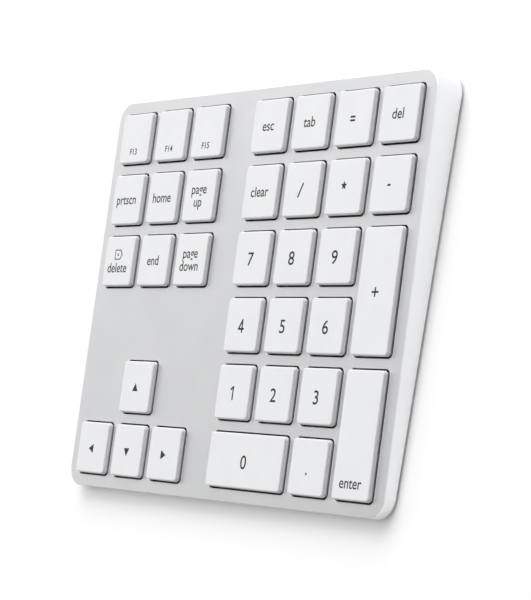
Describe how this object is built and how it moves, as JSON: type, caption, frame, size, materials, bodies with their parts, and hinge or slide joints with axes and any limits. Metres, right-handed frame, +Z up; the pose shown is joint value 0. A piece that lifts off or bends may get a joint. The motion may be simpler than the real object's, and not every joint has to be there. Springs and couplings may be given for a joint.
{
  "type": "numeric keypad",
  "caption": "Slim wedge-shaped wireless numeric keypad with an aluminium case, low white scissor keys, a navigation block and a rear charging port.",
  "frame": {"origin": "centre of the bounding box in plan, on the plane that the rubber feet stand on", "axes": "+Z up, +X to the right as the user sees it, +Y away from the user, towards the thick rear edge with the port"},
  "size_m": [0.15, 0.1188, 0.0111],
  "materials": {
    "case_aluminium": "fine bead-blasted silver anodised aluminium",
    "cap_plastic": "matte white moulded plastic with a very fine texture",
    "cover_plastic": "matte light grey moulded plastic",
    "foot_rubber": "grey silicone rubber",
    "screw_steel": "nickel-plated steel",
    "plate_steel": "stamped steel sheet",
    "membrane_black": "polyester film, printed black",
    "membrane_film": "clear polyester film",
    "dome_silicone": "translucent white silicone",
    "lever_nylon": "natural white acetal",
    "wire_steel": "spring steel wire",
    "board_laminate": "green solder mask",
    "shield_metal": "tinned steel shield can",
    "connector_plastic": "ivory connector plastic",
    "port_metal": "stainless steel shell",
    "battery_foil": "matte laminated foil pouch",
    "tape_black": "black foam tape",
    "lead_insulation": "insulated wire",
    "switch_black": "black moulded plastic",
    "knob_plastic": "light grey moulded plastic",
    "lens_clear": "clear light pipe"
  },
  "bodies": {
    "chassis": {"top_case": "case_aluminium", "bottom_cover": "cover_plastic", "rubber_feet": "foot_rubber", "case_screws": "screw_steel", "key_plate": "plate_steel", "membrane_top": "membrane_black", "membrane_spacer": "membrane_film", "membrane_bottom": "membrane_film", "rubber_domes": "dome_silicone", "scissor_outer_levers": "lever_nylon", "scissor_inner_levers": "lever_nylon", "main_board": "board_laminate", "wireless_module": "shield_metal", "membrane_connector": "connector_plastic", "usb_c_port": "port_metal", "battery": "battery_foil", "battery_tape": "tape_black", "battery_lead": "lead_insulation", "power_switch_housing": "switch_black", "pairing_switch": "connector_plastic", "status_lens": "lens_clear"},
    "power_knob": {"power_switch_knob": "knob_plastic"},
    "pairing_button": {"pairing_button": "knob_plastic"},
    "key_f13": {"keycap_f13": "cap_plastic"},
    "key_f14": {"keycap_f14": "cap_plastic"},
    "key_f15": {"keycap_f15": "cap_plastic"},
    "key_print_screen": {"keycap_print_screen": "cap_plastic"},
    "key_home": {"keycap_home": "cap_plastic"},
    "key_page_up": {"keycap_page_up": "cap_plastic"},
    "key_forward_delete": {"keycap_forward_delete": "cap_plastic"},
    "key_end": {"keycap_end": "cap_plastic"},
    "key_page_down": {"keycap_page_down": "cap_plastic"},
    "key_arrow_up": {"keycap_arrow_up": "cap_plastic"},
    "key_arrow_left": {"keycap_arrow_left": "cap_plastic"},
    "key_arrow_down": {"keycap_arrow_down": "cap_plastic"},
    "key_arrow_right": {"keycap_arrow_right": "cap_plastic"},
    "key_escape": {"keycap_escape": "cap_plastic"},
    "key_tab": {"keycap_tab": "cap_plastic"},
    "key_equals": {"keycap_equals": "cap_plastic"},
    "key_delete": {"keycap_delete": "cap_plastic"},
    "key_clear": {"keycap_clear": "cap_plastic"},
    "key_slash": {"keycap_slash": "cap_plastic"},
    "key_asterisk": {"keycap_asterisk": "cap_plastic"},
    "key_minus": {"keycap_minus": "cap_plastic"},
    "key_seven": {"keycap_seven": "cap_plastic"},
    "key_eight": {"keycap_eight": "cap_plastic"},
    "key_nine": {"keycap_nine": "cap_plastic"},
    "key_plus": {"keycap_plus": "cap_plastic"},
    "key_four": {"keycap_four": "cap_plastic"},
    "key_five": {"keycap_five": "cap_plastic"},
    "key_six": {"keycap_six": "cap_plastic"},
    "key_one": {"keycap_one": "cap_plastic"},
    "key_two": {"keycap_two": "cap_plastic"},
    "key_three": {"keycap_three": "cap_plastic"},
    "key_enter": {"keycap_enter": "cap_plastic"},
    "key_zero": {"keycap_zero": "cap_plastic"},
    "key_point": {"keycap_point": "cap_plastic"},
    "wire_zero": {"stabiliser_zero": "wire_steel"},
    "wire_plus": {"stabiliser_plus": "wire_steel"},
    "wire_enter": {"stabiliser_enter": "wire_steel"}
  },
  "joints": [
    {"name": "power_slide", "type": "slide", "parent": "chassis", "child": "power_knob", "axis": [1, 0, 0], "range_m": [0, 0.0024]},
    {"name": "pairing_press", "type": "slide", "parent": "chassis", "child": "pairing_button", "axis": [0, 0, 1], "range_m": [0, 0.00025], "stiffness_N_per_m": 1000, "springref_m": -0.0002, "deforming": ["pairing_switch"]},
    {"name": "press_f13", "type": "slide", "parent": "chassis", "child": "key_f13", "axis": [0, -0.0448, 0.999], "range_m": [-0.0015, 0], "stiffness_N_per_m": 250, "springref_m": 0.001, "deforming": ["rubber_domes", "scissor_outer_levers", "scissor_inner_levers"]},
    {"name": "press_f14", "type": "slide", "parent": "chassis", "child": "key_f14", "axis": [0, -0.0448, 0.999], "range_m": [-0.0015, 0], "stiffness_N_per_m": 250, "springref_m": 0.001, "deforming": ["rubber_domes", "scissor_outer_levers", "scissor_inner_levers"]},
    {"name": "press_f15", "type": "slide", "parent": "chassis", "child": "key_f15", "axis": [0, -0.0448, 0.999], "range_m": [-0.0015, 0], "stiffness_N_per_m": 250, "springref_m": 0.001, "deforming": ["rubber_domes", "scissor_outer_levers", "scissor_inner_levers"]},
    {"name": "press_print_screen", "type": "slide", "parent": "chassis", "child": "key_print_screen", "axis": [0, -0.0448, 0.999], "range_m": [-0.0015, 0], "stiffness_N_per_m": 250, "springref_m": 0.001, "deforming": ["rubber_domes", "scissor_outer_levers", "scissor_inner_levers"]},
    {"name": "press_home", "type": "slide", "parent": "chassis", "child": "key_home", "axis": [0, -0.0448, 0.999], "range_m": [-0.0015, 0], "stiffness_N_per_m": 250, "springref_m": 0.001, "deforming": ["rubber_domes", "scissor_outer_levers", "scissor_inner_levers"]},
    {"name": "press_page_up", "type": "slide", "parent": "chassis", "child": "key_page_up", "axis": [0, -0.0448, 0.999], "range_m": [-0.0015, 0], "stiffness_N_per_m": 250, "springref_m": 0.001, "deforming": ["rubber_domes", "scissor_outer_levers", "scissor_inner_levers"]},
    {"name": "press_forward_delete", "type": "slide", "parent": "chassis", "child": "key_forward_delete", "axis": [0, -0.0448, 0.999], "range_m": [-0.0015, 0], "stiffness_N_per_m": 250, "springref_m": 0.001, "deforming": ["rubber_domes", "scissor_outer_levers", "scissor_inner_levers"]},
    {"name": "press_end", "type": "slide", "parent": "chassis", "child": "key_end", "axis": [0, -0.0448, 0.999], "range_m": [-0.0015, 0], "stiffness_N_per_m": 250, "springref_m": 0.001, "deforming": ["rubber_domes", "scissor_outer_levers", "scissor_inner_levers"]},
    {"name": "press_page_down", "type": "slide", "parent": "chassis", "child": "key_page_down", "axis": [0, -0.0448, 0.999], "range_m": [-0.0015, 0], "stiffness_N_per_m": 250, "springref_m": 0.001, "deforming": ["rubber_domes", "scissor_outer_levers", "scissor_inner_levers"]},
    {"name": "press_arrow_up", "type": "slide", "parent": "chassis", "child": "key_arrow_up", "axis": [0, -0.0448, 0.999], "range_m": [-0.0015, 0], "stiffness_N_per_m": 250, "springref_m": 0.001, "deforming": ["rubber_domes", "scissor_outer_levers", "scissor_inner_levers"]},
    {"name": "press_arrow_left", "type": "slide", "parent": "chassis", "child": "key_arrow_left", "axis": [0, -0.0448, 0.999], "range_m": [-0.0015, 0], "stiffness_N_per_m": 250, "springref_m": 0.001, "deforming": ["rubber_domes", "scissor_outer_levers", "scissor_inner_levers"]},
    {"name": "press_arrow_down", "type": "slide", "parent": "chassis", "child": "key_arrow_down", "axis": [0, -0.0448, 0.999], "range_m": [-0.0015, 0], "stiffness_N_per_m": 250, "springref_m": 0.001, "deforming": ["rubber_domes", "scissor_outer_levers", "scissor_inner_levers"]},
    {"name": "press_arrow_right", "type": "slide", "parent": "chassis", "child": "key_arrow_right", "axis": [0, -0.0448, 0.999], "range_m": [-0.0015, 0], "stiffness_N_per_m": 250, "springref_m": 0.001, "deforming": ["rubber_domes", "scissor_outer_levers", "scissor_inner_levers"]},
    {"name": "press_escape", "type": "slide", "parent": "chassis", "child": "key_escape", "axis": [0, -0.0448, 0.999], "range_m": [-0.0015, 0], "stiffness_N_per_m": 250, "springref_m": 0.001, "deforming": ["rubber_domes", "scissor_outer_levers", "scissor_inner_levers"]},
    {"name": "press_tab", "type": "slide", "parent": "chassis", "child": "key_tab", "axis": [0, -0.0448, 0.999], "range_m": [-0.0015, 0], "stiffness_N_per_m": 250, "springref_m": 0.001, "deforming": ["rubber_domes", "scissor_outer_levers", "scissor_inner_levers"]},
    {"name": "press_equals", "type": "slide", "parent": "chassis", "child": "key_equals", "axis": [0, -0.0448, 0.999], "range_m": [-0.0015, 0], "stiffness_N_per_m": 250, "springref_m": 0.001, "deforming": ["rubber_domes", "scissor_outer_levers", "scissor_inner_levers"]},
    {"name": "press_delete", "type": "slide", "parent": "chassis", "child": "key_delete", "axis": [0, -0.0448, 0.999], "range_m": [-0.0015, 0], "stiffness_N_per_m": 250, "springref_m": 0.001, "deforming": ["rubber_domes", "scissor_outer_levers", "scissor_inner_levers"]},
    {"name": "press_clear", "type": "slide", "parent": "chassis", "child": "key_clear", "axis": [0, -0.0448, 0.999], "range_m": [-0.0015, 0], "stiffness_N_per_m": 250, "springref_m": 0.001, "deforming": ["rubber_domes", "scissor_outer_levers", "scissor_inner_levers"]},
    {"name": "press_slash", "type": "slide", "parent": "chassis", "child": "key_slash", "axis": [0, -0.0448, 0.999], "range_m": [-0.0015, 0], "stiffness_N_per_m": 250, "springref_m": 0.001, "deforming": ["rubber_domes", "scissor_outer_levers", "scissor_inner_levers"]},
    {"name": "press_asterisk", "type": "slide", "parent": "chassis", "child": "key_asterisk", "axis": [0, -0.0448, 0.999], "range_m": [-0.0015, 0], "stiffness_N_per_m": 250, "springref_m": 0.001, "deforming": ["rubber_domes", "scissor_outer_levers", "scissor_inner_levers"]},
    {"name": "press_minus", "type": "slide", "parent": "chassis", "child": "key_minus", "axis": [0, -0.0448, 0.999], "range_m": [-0.0015, 0], "stiffness_N_per_m": 250, "springref_m": 0.001, "deforming": ["rubber_domes", "scissor_outer_levers", "scissor_inner_levers"]},
    {"name": "press_seven", "type": "slide", "parent": "chassis", "child": "key_seven", "axis": [0, -0.0448, 0.999], "range_m": [-0.0015, 0], "stiffness_N_per_m": 250, "springref_m": 0.001, "deforming": ["rubber_domes", "scissor_outer_levers", "scissor_inner_levers"]},
    {"name": "press_eight", "type": "slide", "parent": "chassis", "child": "key_eight", "axis": [0, -0.0448, 0.999], "range_m": [-0.0015, 0], "stiffness_N_per_m": 250, "springref_m": 0.001, "deforming": ["rubber_domes", "scissor_outer_levers", "scissor_inner_levers"]},
    {"name": "press_nine", "type": "slide", "parent": "chassis", "child": "key_nine", "axis": [0, -0.0448, 0.999], "range_m": [-0.0015, 0], "stiffness_N_per_m": 250, "springref_m": 0.001, "deforming": ["rubber_domes", "scissor_outer_levers", "scissor_inner_levers"]},
    {"name": "press_plus", "type": "slide", "parent": "chassis", "child": "key_plus", "axis": [0, -0.0448, 0.999], "range_m": [-0.0015, 0], "stiffness_N_per_m": 400, "springref_m": 0.001, "deforming": ["rubber_domes", "scissor_outer_levers", "scissor_inner_levers"]},
    {"name": "press_four", "type": "slide", "parent": "chassis", "child": "key_four", "axis": [0, -0.0448, 0.999], "range_m": [-0.0015, 0], "stiffness_N_per_m": 250, "springref_m": 0.001, "deforming": ["rubber_domes", "scissor_outer_levers", "scissor_inner_levers"]},
    {"name": "press_five", "type": "slide", "parent": "chassis", "child": "key_five", "axis": [0, -0.0448, 0.999], "range_m": [-0.0015, 0], "stiffness_N_per_m": 250, "springref_m": 0.001, "deforming": ["rubber_domes", "scissor_outer_levers", "scissor_inner_levers"]},
    {"name": "press_six", "type": "slide", "parent": "chassis", "child": "key_six", "axis": [0, -0.0448, 0.999], "range_m": [-0.0015, 0], "stiffness_N_per_m": 250, "springref_m": 0.001, "deforming": ["rubber_domes", "scissor_outer_levers", "scissor_inner_levers"]},
    {"name": "press_one", "type": "slide", "parent": "chassis", "child": "key_one", "axis": [0, -0.0448, 0.999], "range_m": [-0.0015, 0], "stiffness_N_per_m": 250, "springref_m": 0.001, "deforming": ["rubber_domes", "scissor_outer_levers", "scissor_inner_levers"]},
    {"name": "press_two", "type": "slide", "parent": "chassis", "child": "key_two", "axis": [0, -0.0448, 0.999], "range_m": [-0.0015, 0], "stiffness_N_per_m": 250, "springref_m": 0.001, "deforming": ["rubber_domes", "scissor_outer_levers", "scissor_inner_levers"]},
    {"name": "press_three", "type": "slide", "parent": "chassis", "child": "key_three", "axis": [0, -0.0448, 0.999], "range_m": [-0.0015, 0], "stiffness_N_per_m": 250, "springref_m": 0.001, "deforming": ["rubber_domes", "scissor_outer_levers", "scissor_inner_levers"]},
    {"name": "press_enter", "type": "slide", "parent": "chassis", "child": "key_enter", "axis": [0, -0.0448, 0.999], "range_m": [-0.0015, 0], "stiffness_N_per_m": 400, "springref_m": 0.001, "deforming": ["rubber_domes", "scissor_outer_levers", "scissor_inner_levers"]},
    {"name": "press_zero", "type": "slide", "parent": "chassis", "child": "key_zero", "axis": [0, -0.0448, 0.999], "range_m": [-0.0015, 0], "stiffness_N_per_m": 400, "springref_m": 0.001, "deforming": ["rubber_domes", "scissor_outer_levers", "scissor_inner_levers"]},
    {"name": "press_point", "type": "slide", "parent": "chassis", "child": "key_point", "axis": [0, -0.0448, 0.999], "range_m": [-0.0015, 0], "stiffness_N_per_m": 250, "springref_m": 0.001, "deforming": ["rubber_domes", "scissor_outer_levers", "scissor_inner_levers"]},
    {"name": "wire_turn_plus", "type": "hinge", "parent": "key_plus", "child": "wire_plus", "pos_m": [0.056, -0.00038, 0.00724], "axis": [0, 0.999, 0.0448], "range_deg": [-10.9, 0]},
    {"name": "wire_turn_enter", "type": "hinge", "parent": "key_enter", "child": "wire_enter", "pos_m": [0.056, -0.03835, 0.00554], "axis": [0, 0.999, 0.0448], "range_deg": [-10.9, 0]},
    {"name": "wire_turn_zero", "type": "hinge", "parent": "key_zero", "child": "wire_zero", "pos_m": [0.0149, -0.04144, 0.0054], "axis": [1, 0, 0], "range_deg": [-10.9, 0]}
  ],
  "couplings": [
    {"joint": "wire_turn_plus", "follows": "press_plus", "rad_per_m": 126.06},
    {"joint": "wire_turn_enter", "follows": "press_enter", "rad_per_m": 126.06},
    {"joint": "wire_turn_zero", "follows": "press_zero", "rad_per_m": 126.06}
  ]
}
